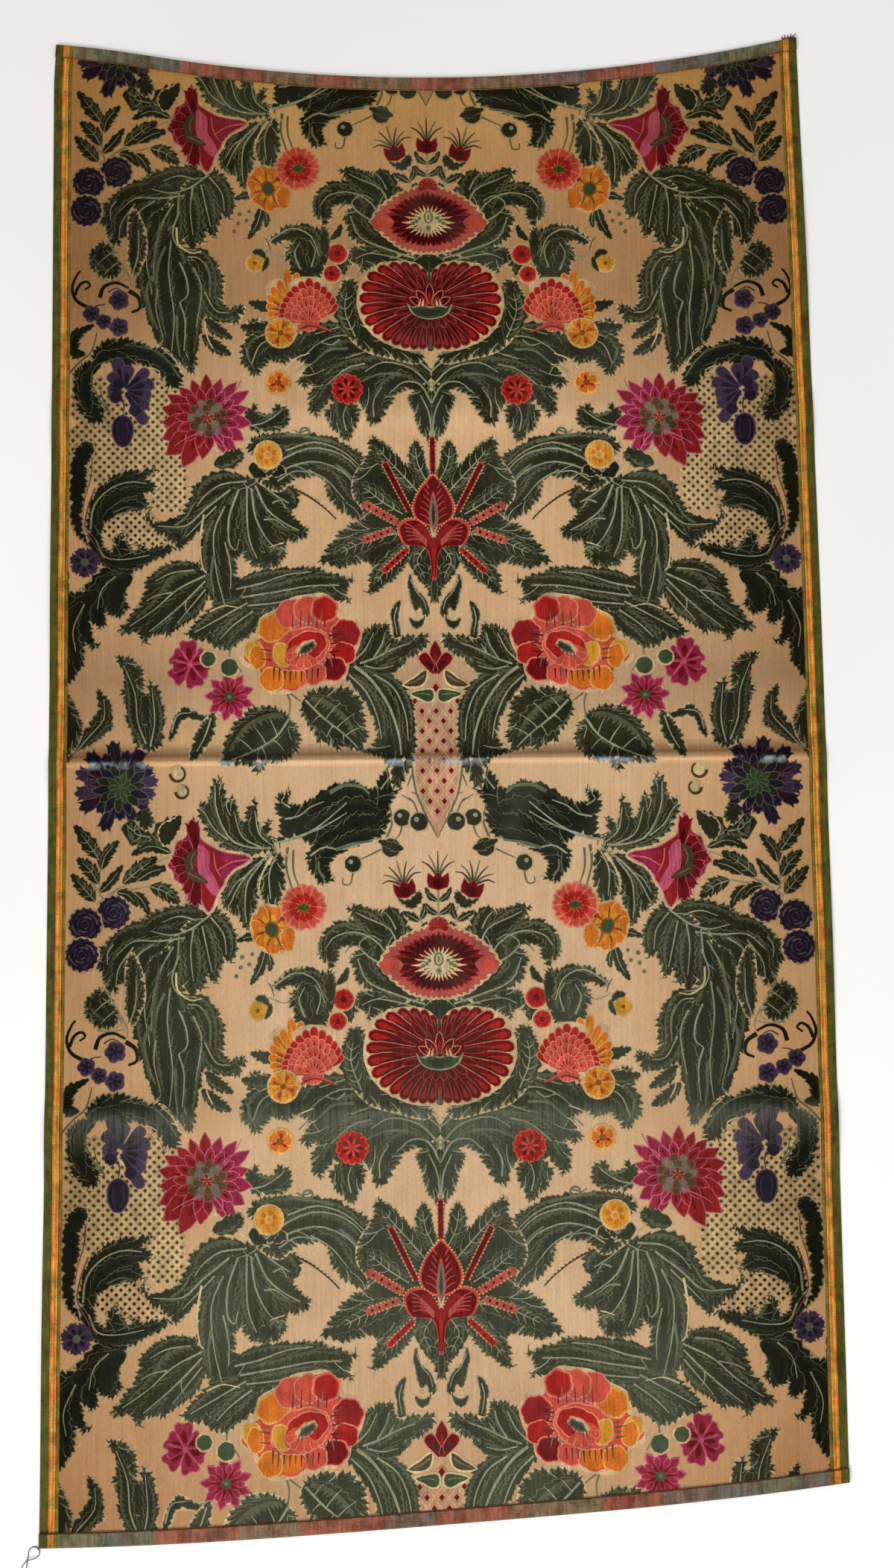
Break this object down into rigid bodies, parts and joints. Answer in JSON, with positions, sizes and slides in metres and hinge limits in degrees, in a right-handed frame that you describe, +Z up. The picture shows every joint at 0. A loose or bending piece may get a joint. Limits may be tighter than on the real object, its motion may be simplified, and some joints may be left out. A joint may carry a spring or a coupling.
{
  "type": "figured furnishing velvet length",
  "caption": "Flat loom-width length of floral furnishing velvet with striped selvedges, hems turned to the front at both ends and pressed fold lines.",
  "frame": {"origin": "middle of the footprint of the whole part, on the surface it lies on", "axes": "+X across the loom width, +Y along the length towards the hollow end, +Z up from the surface"},
  "size_m": [0.5626, 1.084, 0.0058],
  "materials": {
    "velvet": "satin ground with a cut pile pattern of flowers and leaves",
    "sewing_thread": "matt thread",
    "selvedge_thread": "matt frayed thread"
  },
  "bodies": {
    "root": {"cloth": "velvet", "thread_curl": "sewing_thread", "frayed_ends": "selvedge_thread"}
  },
  "joints": []
}
